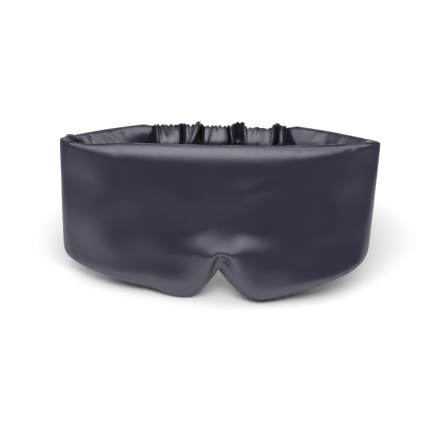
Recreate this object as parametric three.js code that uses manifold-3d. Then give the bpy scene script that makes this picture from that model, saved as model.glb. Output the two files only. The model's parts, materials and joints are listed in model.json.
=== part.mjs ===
// Padded satin sleep eye mask, worn as a loop round the head: a front pad with a nose notch, two padded
// wings folded back at the temples, and a ruched elastic band behind.
// It stands by itself, leaning back on its two cheek lobes, its wing ends and the lower edge of the band.
// Millimetres, +Z up, the front faces -Y. Soft layers are solids a little apart, so none touch.
import * as THREE from "three";
import { mergeVertices } from "three/addons/utils/BufferGeometryUtils.js";
import Module from "manifold-3d";

const wasm = await Module();
wasm.setup();

// ---- driving dimensions ----
// Plan of the loop along its outer face, in the mask's own frame: x to the right as seen from the front,
// y back from the middle of the front, z up from the top edge. Left and right are as seen from the front.
const LOOP_WIDTH = 225; // between the two temple creases
const CREASE_BACK = 21; // the creases lie this far behind the middle of the front
const BAND_BACK = 90; // so do the ends of the band
const BAND_WIDTH = 102; // between the wings, with the elastic relaxed
const WING_BOW = 7; // how far each stretch bows outwards from its chord
const BAND_BOW = 6;
// Heights below the top edge.
const NOSE_HEIGHT = 87;
const LOBE_HEIGHT = 108.5;
const LOBE_OFFSET = 26; // of each cheek lobe's lowest point from the middle
const CREASE_HEIGHT = 86;
const LOWER_EDGE_CURVE = 1.8; // power of the lower edge's fall from lobe to crease, over 1 for a full edge
const BAND_HEIGHT = 70; // of the wing ends and of the sleeve
// Thicknesses.
const SATIN = 0.8;
const BLACKOUT = 0.4;
const ELASTIC = 1.0;
const GAP = 0.45; // between neighbouring layers
const SEAM_THICKNESS = 2.8; // of the pad along its sewn edges
const FRONT_THICKNESS = 12;
const WING_THICKNESS = 10;
const OUTWARD_SHARE = 0.4; // of the padding swells the outer face, the rest swells the lining
const CREASE_TAPER = 45; // length over which the padding thins towards a crease
const MOUTH_TAPER = 20; // and towards a wing's open end
// Seams, band and clearances.
const THREAD_RADIUS = 0.25;
const SEAM_SETBACK = 11; // from a crease to the ends of the running seams
const SEAM_ALLOWANCE = 2.2; // from a sewn edge to its thread
const FILL_INSET = 6; // from a sewn edge to the wadding
const FILL_SETBACK = 20; // from a crease to the wadding
const CREASE_CLEARANCE = 0.4; // from a crease line to the cloth
const CREASE_MITRE = 2; // setback per millimetre of depth, so that the wings can fold inwards too
const MOUTH_MITRE = 0.35; // the same at a wing's open end, where the band turns inwards
const TUCK = 9; // how far the band runs into each wing
const STITCH_CLEARANCE = 1.2; // between a wing's cloth and the band inside it
const PLEATS = 12;
const PLEAT_DEPTH = 3;
const PLEAT_START = 6; // length over which the pleats grow from flat
const ELASTIC_HEIGHT = 45;
const BARTACK_WIDTH = 3;
const BARTACK_TURNS = 11;
const FLOOR_CUT = 0.8; // how much the standing edges are flattened by the mask's own weight

// A wing's open end just takes the sleeve, the elastic and the stitching.
const MOUTH_THICKNESS = 2 * (SATIN + STITCH_CLEARANCE) + 2 * (SATIN + GAP) + ELASTIC;

// ---- curves seen from above ----
// A stretch of the loop, run anticlockwise with the inside of the loop on its left: a circular arc from
// `from` to `to` that bows outwards. at(s) gives the point s millimetres along it and the inward normal.
function bowedStretch(from, to, bow) {
  const chord = to.clone().sub(from);
  const radius = (chord.lengthSq() / 4 + bow * bow) / (2 * bow);
  const inward = new THREE.Vector2(-chord.y, chord.x).normalize();
  const centre = from.clone().add(to).multiplyScalar(0.5).addScaledVector(inward, radius - bow);
  const length = 2 * radius * Math.asin(chord.length() / (2 * radius));
  const at = (s) => {
    const point = from.clone().rotateAround(centre, s / radius);
    return { point, inward: centre.clone().sub(point).divideScalar(radius) };
  };
  return { length, at };
}

const rightCrease = new THREE.Vector2(LOOP_WIDTH / 2, CREASE_BACK);
const leftCrease = new THREE.Vector2(-LOOP_WIDTH / 2, CREASE_BACK);
const rightWingEnd = new THREE.Vector2(BAND_WIDTH / 2, BAND_BACK);
const leftWingEnd = new THREE.Vector2(-BAND_WIDTH / 2, BAND_BACK);
const front = bowedStretch(leftCrease, rightCrease, CREASE_BACK);
const wing = bowedStretch(rightCrease, rightWingEnd, WING_BOW);
const farWing = bowedStretch(leftWingEnd, leftCrease, WING_BOW);
const bandArc = bowedStretch(rightWingEnd, leftWingEnd, BAND_BOW);

// The band with both ends tucked into the wings.
const band = {
  length: bandArc.length + 2 * TUCK,
  at: (s) => {
    const along = s - TUCK;
    if (along < 0) return wing.at(wing.length + along);
    if (along > bandArc.length) return farWing.at(along - bandArc.length);
    return bandArc.at(along);
  },
};

// ---- outlines and thicknesses ----
const ramp = (x, length) => THREE.MathUtils.smoothstep(x, 0, length);

// Height of the front's lower edge: a notch over the nose, a rounded lobe on each cheek, then a full edge
// that rises to the crease.
function frontBottom(s) {
  const x = Math.abs(s - front.length / 2);
  if (x < LOBE_OFFSET) {
    const share = Math.sin((Math.PI / 2) * (x / LOBE_OFFSET));
    return -THREE.MathUtils.lerp(NOSE_HEIGHT, LOBE_HEIGHT, share);
  }
  const along = (x - LOBE_OFFSET) / (front.length / 2 - LOBE_OFFSET);
  return -THREE.MathUtils.lerp(LOBE_HEIGHT, CREASE_HEIGHT, Math.pow(along, LOWER_EDGE_CURVE));
}

const wingBottom = (s) => -THREE.MathUtils.lerp(CREASE_HEIGHT, BAND_HEIGHT, s / wing.length);
const bandBottom = () => -BAND_HEIGHT;

// How full the padding is across a panel's height: 0 along both sewn edges, 1 in the middle.
function crown(z, bottom) {
  const share = THREE.MathUtils.clamp(z / bottom, 0, 1);
  return Math.sin(Math.PI * share);
}

function frontThickness(s, z) {
  const swell = (FRONT_THICKNESS - SEAM_THICKNESS) * crown(z, frontBottom(s));
  return SEAM_THICKNESS + swell * ramp(Math.min(s, front.length - s), CREASE_TAPER);
}

function wingThickness(s, z) {
  const swell = (WING_THICKNESS - SEAM_THICKNESS) * crown(z, wingBottom(s));
  const padded = SEAM_THICKNESS + swell * ramp(s, CREASE_TAPER);
  const open = 1 - ramp(wing.length - s, MOUTH_TAPER);
  return THREE.MathUtils.lerp(padded, MOUTH_THICKNESS, open);
}

// The depth of a padded panel's outer face and of its lining, inwards from the loop's line.
const panelFaces = (thickness) => ({
  outer: (s, z) => -OUTWARD_SHARE * (thickness(s, z) - SEAM_THICKNESS),
  inner: (s, z) => SEAM_THICKNESS + (1 - OUTWARD_SHARE) * (thickness(s, z) - SEAM_THICKNESS),
});
const frontFaces = panelFaces(frontThickness);
const wingFaces = panelFaces(wingThickness);

// ---- solids ----
// A layer of cloth or filling: a box bent along a stretch of the loop. `ends` are its two ends along the
// stretch at no depth, each end may be mitred, and `outer` and `inner` are its depths at (s, z).
function layer({ stretch, ends, mitre = [0, 0], bottom, inset = 0, outer, inner, cells }) {
  const geometry = new THREE.BoxGeometry(1, 1, 1, cells[0], cells[1], 1);
  const position = geometry.attributes.position;
  for (let i = 0; i < position.count; i++) {
    const u = position.getX(i) + 0.5;
    const v = position.getY(i) + 0.5;
    const height = (s) => THREE.MathUtils.lerp(bottom(s) + inset, -inset, v);
    const depthAt = (s) => (position.getZ(i) > 0 ? outer : inner)(s, height(s));
    const unmitred = THREE.MathUtils.lerp(ends[0], ends[1], u);
    const setback = Math.max(depthAt(unmitred), 0);
    const start = ends[0] + mitre[0] * setback;
    const s = THREE.MathUtils.lerp(start, ends[1] - mitre[1] * setback, u);
    const { point, inward } = stretch.at(s);
    point.addScaledVector(inward, depthAt(s));
    position.setXYZ(i, point.x, point.y, height(s));
  }
  return geometry;
}

// A thread through points given as (s along the stretch, depth, z).
function thread(stretch, stations, steps) {
  const points = stations.map(([s, depth, z]) => {
    const { point, inward } = stretch.at(s);
    point.addScaledVector(inward, depth);
    return new THREE.Vector3(point.x, point.y, z);
  });
  const section = new THREE.Shape().absarc(0, 0, THREAD_RADIUS, 0, 2 * Math.PI, false);
  const path = new THREE.CatmullRomCurve3(points, false, "centripetal");
  return new THREE.ExtrudeGeometry(section, { steps, curveSegments: 3, extrudePath: path });
}

// A running seam between two layers, at one distance from a panel's edge.
function seam({ stretch, ends, edge, depth, count }) {
  const stations = Array.from({ length: count + 1 }, (_, i) => {
    const s = THREE.MathUtils.lerp(ends[0], ends[1], i / count);
    return [s, depth(s, edge(s)), edge(s)];
  });
  return thread(stretch, stations, count);
}

function mirrored(geometry) {
  const copy = geometry.clone().scale(-1, 1, 1);
  const plain = copy.index ? copy.toNonIndexed() : copy;
  const position = plain.attributes.position;
  const corner = new THREE.Vector3();
  const other = new THREE.Vector3();
  for (let i = 0; i < position.count; i += 3) {
    corner.fromBufferAttribute(position, i + 1);
    other.fromBufferAttribute(position, i + 2);
    position.setXYZ(i + 1, other.x, other.y, other.z);
    position.setXYZ(i + 2, corner.x, corner.y, corner.z);
  }
  plain.deleteAttribute("normal");
  plain.computeVertexNormals();
  return plain;
}

function toSolid(geometry) {
  const bare = new THREE.BufferGeometry();
  bare.setAttribute("position", geometry.getAttribute("position"));
  bare.setIndex(geometry.index);
  const merged = mergeVertices(bare, 1e-3);
  return new wasm.Manifold(
    new wasm.Mesh({
      numProp: 3,
      vertProperties: merged.attributes.position.array,
      triVerts: new Uint32Array(merged.index.array),
    }),
  );
}

function fromSolid(solid) {
  const { vertProperties, triVerts } = solid.getMesh();
  const geometry = new THREE.BufferGeometry();
  geometry.setAttribute("position", new THREE.BufferAttribute(new Float32Array(vertProperties), 3));
  geometry.setIndex(new THREE.BufferAttribute(new Uint32Array(triVerts), 1));
  geometry.computeVertexNormals();
  return geometry;
}

// ---- the standing pose ----
// The mask leans back until the lobes and the band's lower edge are level.
const lobeBack = front.at(front.length / 2 + LOBE_OFFSET).point.y;
const LEAN = Math.atan((LOBE_HEIGHT - BAND_HEIGHT) / (BAND_BACK - lobeBack));
const stand = new THREE.Matrix4().makeRotationX(-LEAN);
const lowest = new THREE.Vector3(0, lobeBack, -LOBE_HEIGHT).applyMatrix4(stand).z;
stand.premultiply(new THREE.Matrix4().makeTranslation(0, 0, -lowest - FLOOR_CUT));

const floor = toSolid(new THREE.BoxGeometry(600, 600, 100).translate(0, 0, -50));

// ---- materials ----
const cloth = (color, roughness) => new THREE.MeshStandardMaterial({ color, roughness, metalness: 0 });
const satin = cloth(0x4d4a52, 0.4);
const liningSatin = cloth(0x55525a, 0.4);
const sleeveSatin = cloth(0x525058, 0.4);
const blackoutCloth = cloth(0x0c0c0e, 0.85);
const wadding = cloth(0xe4e2de, 0.95);
const rubberWebbing = cloth(0x1b1b1e, 0.8);
const sewingThread = cloth(0x3c3a40, 0.6);

const mask = new THREE.Group();
mask.name = "sleep_eye_mask";

function add(name, geometry, material, meetsFloor = false) {
  geometry.applyMatrix4(stand);
  const shape = meetsFloor ? fromSolid(toSolid(geometry).subtract(floor)) : geometry;
  const mesh = new THREE.Mesh(shape, material);
  mesh.name = name;
  mask.add(mesh);
}

// The four layers of a padded panel, from the outer face to the lining.
function panelLayers(faces) {
  const shellBack = (s, z) => faces.outer(s, z) + SATIN;
  const liningFront = (s, z) => faces.inner(s, z) - SATIN;
  const blackoutBack = (s, z) => liningFront(s, z) - GAP;
  const blackoutFront = (s, z) => blackoutBack(s, z) - BLACKOUT;
  return {
    shell: { outer: faces.outer, inner: shellBack },
    lining: { outer: liningFront, inner: faces.inner },
    blackout: { outer: blackoutFront, inner: blackoutBack },
    wadding: {
      outer: (s, z) => shellBack(s, z) + GAP,
      inner: (s, z) => blackoutFront(s, z) - GAP,
    },
  };
}

const seamDepth = (faces) => (s, z) => (faces.outer(s, z) + faces.inner(s, z)) / 2;

// ---- front pad ----
function buildFront() {
  const layers = panelLayers(frontFaces);
  const whole = {
    stretch: front,
    ends: [CREASE_CLEARANCE, front.length - CREASE_CLEARANCE],
    mitre: [CREASE_MITRE, CREASE_MITRE],
    bottom: frontBottom,
    cells: [36, 8],
  };
  const filling = {
    ...whole,
    ends: [FILL_SETBACK, front.length - FILL_SETBACK],
    mitre: [0, 0],
    inset: FILL_INSET,
    cells: [30, 6],
  };
  add("front_shell", layer({ ...whole, ...layers.shell }), satin, true);
  add("front_lining", layer({ ...whole, ...layers.lining }), liningSatin, true);
  add("front_blackout_layer", layer({ ...filling, ...layers.blackout }), blackoutCloth);
  add("front_wadding", layer({ ...filling, ...layers.wadding }), wadding);

  const run = {
    stretch: front,
    ends: [SEAM_SETBACK, front.length - SEAM_SETBACK],
    depth: seamDepth(frontFaces),
    count: 32,
  };
  add("front_top_seam", seam({ ...run, edge: () => -SEAM_ALLOWANCE }), sewingThread);
  const lower = (s) => frontBottom(s) + SEAM_ALLOWANCE;
  add("front_bottom_seam", seam({ ...run, edge: lower }), sewingThread);
}

// ---- wings ----
// Each wing's pieces are shaped on the right and mirrored to the left.
function buildWings() {
  const layers = panelLayers(wingFaces);
  const whole = {
    stretch: wing,
    ends: [CREASE_CLEARANCE, wing.length],
    mitre: [CREASE_MITRE, MOUTH_MITRE],
    bottom: wingBottom,
    cells: [12, 7],
  };
  const filling = {
    ...whole,
    ends: [FILL_SETBACK, wing.length - TUCK - 2 * GAP],
    mitre: [0, 0],
    inset: FILL_INSET,
    cells: [10, 6],
  };
  const run = {
    stretch: wing,
    ends: [SEAM_SETBACK, wing.length - TUCK],
    depth: seamDepth(wingFaces),
    count: 9,
  };
  const lower = (s) => wingBottom(s) + SEAM_ALLOWANCE;
  const pieces = [
    ["shell", layer({ ...whole, ...layers.shell }), satin, true],
    ["lining", layer({ ...whole, ...layers.lining }), liningSatin, true],
    ["blackout_layer", layer({ ...filling, ...layers.blackout }), blackoutCloth],
    ["wadding", layer({ ...filling, ...layers.wadding }), wadding],
    ["top_seam", seam({ ...run, edge: () => -SEAM_ALLOWANCE }), sewingThread],
    ["bottom_seam", seam({ ...run, edge: lower }), sewingThread],
    ["band_bartack", bartack(), sewingThread],
  ];
  for (const [part, geometry, material, meetsFloor] of pieces) {
    const left = mirrored(geometry);
    add(`right_wing_${part}`, geometry, material, meetsFloor);
    add(`left_wing_${part}`, left, material, meetsFloor);
  }
}

// Depths of the band's layers, inwards from the mouth's outer face.
const mouthFace = -OUTWARD_SHARE * (MOUTH_THICKNESS - SEAM_THICKNESS);
const sleeveFace = mouthFace + SATIN + STITCH_CLEARANCE;
const elasticFace = sleeveFace + SATIN + GAP;
const sleeveBackFace = elasticFace + ELASTIC + GAP;

// A zigzag of thread through a wing's end, which holds the band in it.
function bartack() {
  const middle = wing.length - TUCK / 2;
  const top = -(BAND_HEIGHT - ELASTIC_HEIGHT) / 2;
  const stations = Array.from({ length: BARTACK_TURNS + 1 }, (_, i) => [
    middle + (i % 2 ? BARTACK_WIDTH / 2 : -BARTACK_WIDTH / 2),
    sleeveFace - STITCH_CLEARANCE / 2,
    top - (ELASTIC_HEIGHT * i) / BARTACK_TURNS,
  ]);
  return thread(wing, stations, 3 * BARTACK_TURNS);
}

// ---- band ----
// How far a pleat stands off the flat sleeve at s.
function pleat(s) {
  const fromMouth = Math.min(s, band.length - s) - TUCK;
  const turn = (2 * Math.PI * PLEATS * (s - TUCK)) / bandArc.length;
  return (PLEAT_DEPTH * (1 - Math.cos(turn)) * ramp(fromMouth, PLEAT_START)) / 2;
}

function buildBand() {
  const sleeve = {
    stretch: band,
    ends: [0, band.length],
    bottom: bandBottom,
    cells: [66, 2],
  };
  const outside = (s) => sleeveFace - pleat(s);
  const inside = (s) => sleeveBackFace + SATIN + pleat(s);
  const outer = layer({ ...sleeve, outer: outside, inner: (s) => outside(s) + SATIN });
  const inner = layer({ ...sleeve, outer: (s) => inside(s) - SATIN, inner: inside });
  add("sleeve_outer", outer, sleeveSatin, true);
  add("sleeve_inner", inner, sleeveSatin, true);

  const webbing = layer({
    ...sleeve,
    ends: [1, band.length - 1],
    inset: (BAND_HEIGHT - ELASTIC_HEIGHT) / 2,
    outer: () => elasticFace,
    inner: () => elasticFace + ELASTIC,
    cells: [16, 1],
  });
  add("elastic_webbing", webbing, rubberWebbing);

  const run = {
    stretch: band,
    ends: [2, band.length - 2],
    depth: () => elasticFace + ELASTIC / 2,
    count: 24,
  };
  add("sleeve_top_seam", seam({ ...run, edge: () => -SEAM_ALLOWANCE }), sewingThread);
  // The band bows back, so the floor takes more off the middle of its lower edge.
  const lower = () => -BAND_HEIGHT + 2 * SEAM_ALLOWANCE;
  add("sleeve_bottom_seam", seam({ ...run, edge: lower }), sewingThread);
}

buildFront();
buildWings();
buildBand();

// The origin is under the middle of the standing mask.
const extent = new THREE.Box3().setFromObject(mask);
mask.position.y = -(extent.min.y + extent.max.y) / 2;

export default mask;
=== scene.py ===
"""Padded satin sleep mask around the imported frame: simulated pad, ruched band, satin, studio light, camera.

Metres. The mask frame has x to the right, y backwards from the crease line and z up from the top edge,
and leans back with the mask. s runs along the loop from the front's left crease, h down from the top edge.
"""

import json
import math

import bpy
import numpy as np
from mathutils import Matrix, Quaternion, Vector


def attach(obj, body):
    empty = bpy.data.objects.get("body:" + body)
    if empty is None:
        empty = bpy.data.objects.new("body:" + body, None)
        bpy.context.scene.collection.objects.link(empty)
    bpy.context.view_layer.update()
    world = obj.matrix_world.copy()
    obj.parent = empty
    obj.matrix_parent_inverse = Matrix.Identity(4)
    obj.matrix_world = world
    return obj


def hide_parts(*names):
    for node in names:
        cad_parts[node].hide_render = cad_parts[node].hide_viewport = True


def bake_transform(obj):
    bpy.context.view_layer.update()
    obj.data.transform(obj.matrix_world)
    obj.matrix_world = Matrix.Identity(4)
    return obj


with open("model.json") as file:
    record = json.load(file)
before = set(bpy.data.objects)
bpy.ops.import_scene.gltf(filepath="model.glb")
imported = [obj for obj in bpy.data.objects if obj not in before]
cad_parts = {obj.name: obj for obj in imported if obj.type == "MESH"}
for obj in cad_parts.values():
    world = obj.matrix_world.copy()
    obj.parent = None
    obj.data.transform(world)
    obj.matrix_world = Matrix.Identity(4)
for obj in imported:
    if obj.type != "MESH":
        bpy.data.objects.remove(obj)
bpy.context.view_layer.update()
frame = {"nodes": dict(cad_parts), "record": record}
MM = 0.001

# ---- the mask frame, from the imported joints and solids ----
JOINTS = {j["name"]: j for j in frame["record"]["behaviour"]["joints"]}
UP = np.array(JOINTS["left_wing_fold"]["axis"])
UP = UP / np.linalg.norm(UP)
RIGHT = np.array([1.0, 0.0, 0.0])
BACK = np.cross(UP, RIGHT)


def vertices_of(node):
    """A CAD node's vertices in the row frame."""
    mesh = frame["nodes"][node].data
    flat = np.empty(3 * len(mesh.vertices))
    mesh.vertices.foreach_get("co", flat)
    return flat.reshape(-1, 3)


CREASE = np.array(JOINTS["right_wing_fold"]["pos_m"])
CREASE_X = CREASE[0]
TOP = (vertices_of("front_shell") @ UP).max()
ORIGIN = CREASE * [0, 1, 1] + (TOP - CREASE @ UP) * UP


def to_row(points):
    """Mask-frame points in the row frame."""
    p = np.asarray(points, float)
    return ORIGIN + p[..., :1] * RIGHT + p[..., 1:2] * BACK + p[..., 2:3] * UP


def to_mask(points):
    p = np.asarray(points, float) - ORIGIN
    return np.stack([p @ RIGHT, p @ BACK, p @ UP], -1)


SHELL = to_mask(vertices_of("front_shell"))
FRONT_BOW = -SHELL[SHELL[:, 2] > -0.5 * MM, 1].min()
SEAM_PIVOT = to_mask(JOINTS["left_band_seam"]["pos_m"])
LOBE_HEIGHT = -SHELL[:, 2].min()
NOSE_HEIGHT = -SHELL[abs(SHELL[:, 0]) < 1 * MM, 2].min()
BAND_HEIGHT = -to_mask(vertices_of("sleeve_outer"))[:, 2].min()
WEBBING = to_mask(vertices_of("elastic_webbing"))
WING_BOW = 7 * MM
BAND_BOW = 6 * MM
PIVOT_DEPTH = 1.9 * MM  # of the seam pivots, inwards from the loop's outer line


# ---- small tools ----
def smooth(x, low, high):
    """Rises smoothly from 0 at low to 1 at high."""
    t = np.clip((x - low) / (high - low), 0, 1)
    return t * t * (3 - 2 * t)


def mix(a, b, t):
    return a + (b - a) * t


def bell(x, width):
    """1 at x = 0, dying away smoothly on both sides."""
    return np.exp(-((x / width) ** 2))


def crowded(count, share):
    """count places from 0 to 1, closer together towards both ends by this share."""
    t = np.linspace(0, 1, count)
    return mix(t, (1 - np.cos(math.pi * t)) / 2, share)


def unit(vectors):
    return vectors / np.maximum(np.linalg.norm(vectors, axis=-1, keepdims=True), 1e-12)


def waves(seed, shortest, longest, count, *coordinates):
    """Smooth noise of about -1 to 1: a sum of sines of these wavelengths in random directions."""
    rng = np.random.default_rng(seed)
    total = 0
    for _ in range(count):
        length = shortest * (longest / shortest) ** rng.random()
        way = rng.normal(size=len(coordinates))
        way /= np.linalg.norm(way)
        phase = sum(w * c for w, c in zip(way, coordinates)) / length
        total = total + np.sin(2 * math.pi * (phase + rng.random()))
    return total / math.sqrt(count)


def stroke(a, h, start, end, width, height):
    """A soft ridge, or a furrow where height is negative, from start to end on the (a, h) cloth, in mm."""
    (a0, h0), (a1, h1) = start, end
    way = np.array([a1 - a0, h1 - h0], float) * MM
    t = ((a - a0 * MM) * way[0] + (h - h0 * MM) * way[1]) / (way @ way)
    inside = np.clip(t, 0, 1)
    gap = np.hypot(a - a0 * MM - inside * way[0], h - h0 * MM - inside * way[1])
    fade = 0.45 + 0.55 * np.sin(math.pi * np.clip(t, 0, 1))
    return height * MM * fade * bell(gap, width * MM)


def strokes(a, h, lines):
    return sum(stroke(a, h, *line) for line in lines)


class Stretch:
    """A circular arc seen from above that bows outwards. The loop's inside is on its left as s grows."""

    def __init__(self, start, end, bow):
        start, end = np.array(start), np.array(end)
        chord = end - start
        half = np.linalg.norm(chord) / 2
        self.radius = (half**2 + bow**2) / (2 * bow)
        inward = np.array([-chord[1], chord[0]]) / (2 * half)
        self.centre = (start + end) / 2 + inward * (self.radius - bow)
        self.angle = math.atan2(*(start - self.centre)[::-1])
        self.length = 2 * self.radius * math.asin(half / self.radius)

    def at(self, s):
        """Points s along the arc, and the inward normals there."""
        a = self.angle + np.asarray(s) / self.radius
        outward = np.stack([np.cos(a), np.sin(a)], -1)
        return self.centre + self.radius * outward, -outward


BAND_END = np.array([-SEAM_PIVOT[0], SEAM_PIVOT[1]])
CREASE_RIGHT, CREASE_LEFT = np.array([CREASE_X, 0.0]), np.array([-CREASE_X, 0.0])
MIRROR = np.array([-1.0, 1.0])
wing_way = unit(BAND_END - CREASE_RIGHT)
WING_END = BAND_END + PIVOT_DEPTH * np.array([wing_way[1], -wing_way[0]])
FRONT = Stretch(CREASE_LEFT, CREASE_RIGHT, FRONT_BOW)
WING_RIGHT = Stretch(CREASE_RIGHT, WING_END, WING_BOW)
WING_LEFT = Stretch(WING_END * MIRROR, CREASE_LEFT, WING_BOW)
BAND = Stretch(WING_END, WING_END * MIRROR, BAND_BOW)
F, W = FRONT.length, WING_RIGHT.length  # the pad runs from s = -W to F + W


def to_crease(s):
    return np.minimum(abs(s), abs(s - F))


def to_open_end(s):
    """Distance to the end of the nearer wing."""
    return np.minimum(s + W, F + W - s)


def chain(s, depth, z, stretches, offsets):
    """Mask-frame points at s on stretches that follow one another, each starting at its offset, this deep
    into the loop and at height z."""
    point, inward = stretches[0].at(s - offsets[0])
    for stretch, offset in zip(stretches[1:], offsets[1:]):
        here, normal = stretch.at(s - offset)
        later = (s >= offset)[..., None]
        point = np.where(later, here, point)
        inward = np.where(later, normal, inward)
    depth, z = np.broadcast_to(depth, s.shape), np.broadcast_to(z, s.shape)
    return np.concatenate([point + inward * depth[..., None], z[..., None]], -1)


# ---- camera, light and floor ----
CAMERA_ELEVATION = 35.8  # degrees
CAMERA_ROLL = 0.8  # degrees, the mask's right side a little lower in the picture
CAMERA_DISTANCE = 0.9
CAMERA_LENS = 101.3  # mm
AIM = Vector((0.0006, -0.01, 0.0257))
FLOOR_HALF = 4.0
LIGHTS = (  # name, place, aim, size, watts
    ("key", (-0.1, -0.5, 1.3), (0, 0, 0.02), (1.5, 0.7), 8),
    ("overhead", (0, 0.1, 1.7), (0, 0.1, 0), (3.4, 3.2), 40),
    ("side_left", (-1.5, 0.2, 1.3), (0, 0, 0.03), (1.4, 1.4), 8),
    ("side_right", (1.4, 0.8, 1.1), (0, 0, 0.03), (1.4, 1.4), 9),
)


def add_camera():
    elevation = math.radians(CAMERA_ELEVATION)
    back = Vector((0, -math.cos(elevation), math.sin(elevation)))
    camera = bpy.data.objects.new("camera", bpy.data.cameras.new("camera"))
    bpy.context.scene.collection.objects.link(camera)
    camera.data.lens = CAMERA_LENS
    camera.location = AIM + back * CAMERA_DISTANCE
    camera.rotation_mode = "QUATERNION"
    roll = Quaternion((0, 0, 1), math.radians(CAMERA_ROLL))
    camera.rotation_quaternion = (-back).to_track_quat("-Z", "Y") @ roll
    bpy.context.scene.camera = camera


def add_area_light(name, location, aim, size, power):
    light = bpy.data.lights.new(name, "AREA")
    light.shape = "RECTANGLE"
    light.size, light.size_y = size
    light.energy = power
    obj = bpy.data.objects.new(name, light)
    bpy.context.scene.collection.objects.link(obj)
    obj.location = location
    obj.rotation_mode = "QUATERNION"
    obj.rotation_quaternion = (Vector(aim) - Vector(location)).to_track_quat("-Z", "Y")


def add_studio():
    """A white floor, four soft lights and a dim sky."""
    corners = [(x * FLOOR_HALF, y * FLOOR_HALF, 0) for x, y in ((-1, -1), (1, -1), (1, 1), (-1, 1))]
    mesh = bpy.data.meshes.new("floor")
    mesh.from_pydata(corners, [], [(0, 1, 2, 3)])
    floor = bpy.data.objects.new("floor", mesh)
    bpy.context.scene.collection.objects.link(floor)
    paint, _, _ = principled("floor_paint", Base_Color=(0.94, 0.94, 0.94, 1), Roughness=0.9)
    mesh.materials.append(paint)
    for light in LIGHTS:
        add_area_light(*light)
    world = bpy.data.worlds.new("studio")
    world.use_nodes = True
    set_inputs(world.node_tree.nodes["Background"], Color=(0.9, 0.92, 1, 1), Strength=0.1)
    bpy.context.scene.world = world
    bpy.context.scene.view_settings.view_transform = "Standard"


# ---- materials ----
SATIN_ROUGHNESS = 0.4
STREAK_SCALE = (30, 900, 1)  # noise features to the metre, along and across the cloth
PATCH_SCALE, GRAIN_SCALE, CREASING_SCALE = 28, 800, 160  # the same, in any direction
SATIN_PITCH, CLOTH_PITCH, RIB_PITCH = 0.5 * MM, 0.6 * MM, 1.1 * MM  # from yarn to yarn
THREAD_PITCH = 0.8 * MM
WAVE_RADIANS = 20  # a wave texture has this many radians to the unit


def set_inputs(node, **inputs):
    """Sets a shader node's inputs. One given as another node's output is linked."""
    for name, value in inputs.items():
        socket = node.inputs[name.replace("_", " ")]
        if isinstance(value, bpy.types.NodeSocket):
            node.id_data.links.new(value, socket)
        else:
            socket.default_value = value


def add_node(tree, kind, output, settings=(), **inputs):
    """This output of a new shader node."""
    node = tree.nodes.new(kind)
    for name, value in dict(settings).items():
        setattr(node, name, value)
    set_inputs(node, **inputs)
    return node.outputs[output]


def principled(name, **inputs):
    """A new material, its Principled shader with these inputs set, and its node tree."""
    material = bpy.data.materials.new(name)
    material.use_nodes = True
    shader = material.node_tree.nodes["Principled BSDF"]
    set_inputs(shader, **inputs)
    return material, shader, material.node_tree


def noise(tree, vector, scale, detail):
    return add_node(tree, "ShaderNodeTexNoise", "Fac", Scale=scale, Detail=detail, Vector=vector)


def spread_over(tree, value, low, high):
    """A value of 0 to 1, spread over low to high."""
    return add_node(tree, "ShaderNodeMapRange", "Result", To_Min=low, To_Max=high, Value=value)


def wave(tree, vector, pitch, direction):
    settings = {"bands_direction": direction, "wave_profile": "SIN"}
    scale = 2 * math.pi / WAVE_RADIANS / pitch
    return add_node(tree, "ShaderNodeTexWave", "Fac", settings, Scale=scale, Distortion=0, Vector=vector)


def bump(tree, height, strength, distance, **under):
    """Bumps of this height, over those of another bump node's normal where there is one."""
    inputs = {"Strength": strength, "Distance": distance, "Height": height, **under}
    return add_node(tree, "ShaderNodeBump", "Normal", **inputs)


def shades(tree, factor, color, darker, lighter):
    """From a darker to a lighter shade of the colour."""
    dark, light = [(*(c * shade for c in color), 1) for shade in (darker, lighter)]
    return add_node(tree, "ShaderNodeMix", "Result", {"data_type": "RGBA"}, A=dark, B=light, Factor=factor)


def satin(name, color):
    """Woven satin: a dark yarn colour with slight streaks, a fine weave, and a soft stretched highlight."""
    material, shader, tree = principled(name, IOR=1.6, Specular_IOR_Level=1.0, Anisotropic=0.35)
    set_inputs(shader, Specular_Tint=(0.92, 0.88, 1, 1), Sheen_Weight=0.05, Sheen_Roughness=0.4)
    uv = add_node(tree, "ShaderNodeTexCoord", "UV")
    along = add_node(tree, "ShaderNodeMapping", "Vector", Scale=STREAK_SCALE, Vector=uv)
    patches = noise(tree, uv, PATCH_SCALE, 3)
    both = tree.nodes.new("ShaderNodeMath")
    both.operation = "MULTIPLY_ADD"
    both.inputs[1].default_value = 0.5
    tree.links.new(noise(tree, along, 1, 3), both.inputs[0])
    tree.links.new(spread_over(tree, patches, 0, 0.5), both.inputs[2])
    weave = bump(tree, wave(tree, uv, SATIN_PITCH, "DIAGONAL"), 0.06, 0.05 * MM)
    grain = bump(tree, noise(tree, uv, GRAIN_SCALE, 2), 0.5, 0.1 * MM, Normal=weave)
    creasing = bump(tree, noise(tree, uv, CREASING_SCALE, 4), 0.12, 0.4 * MM, Normal=grain)
    along_yarn = {"direction_type": "UV_MAP", "uv_map": "cloth"}
    set_inputs(
        shader,
        Base_Color=shades(tree, both.outputs["Value"], color, 0.75, 1.25),
        Roughness=spread_over(tree, patches, SATIN_ROUGHNESS - 0.04, SATIN_ROUGHNESS + 0.04),
        Normal=creasing,
        Tangent=add_node(tree, "ShaderNodeTangent", "Tangent", along_yarn),
    )
    return material


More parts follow.
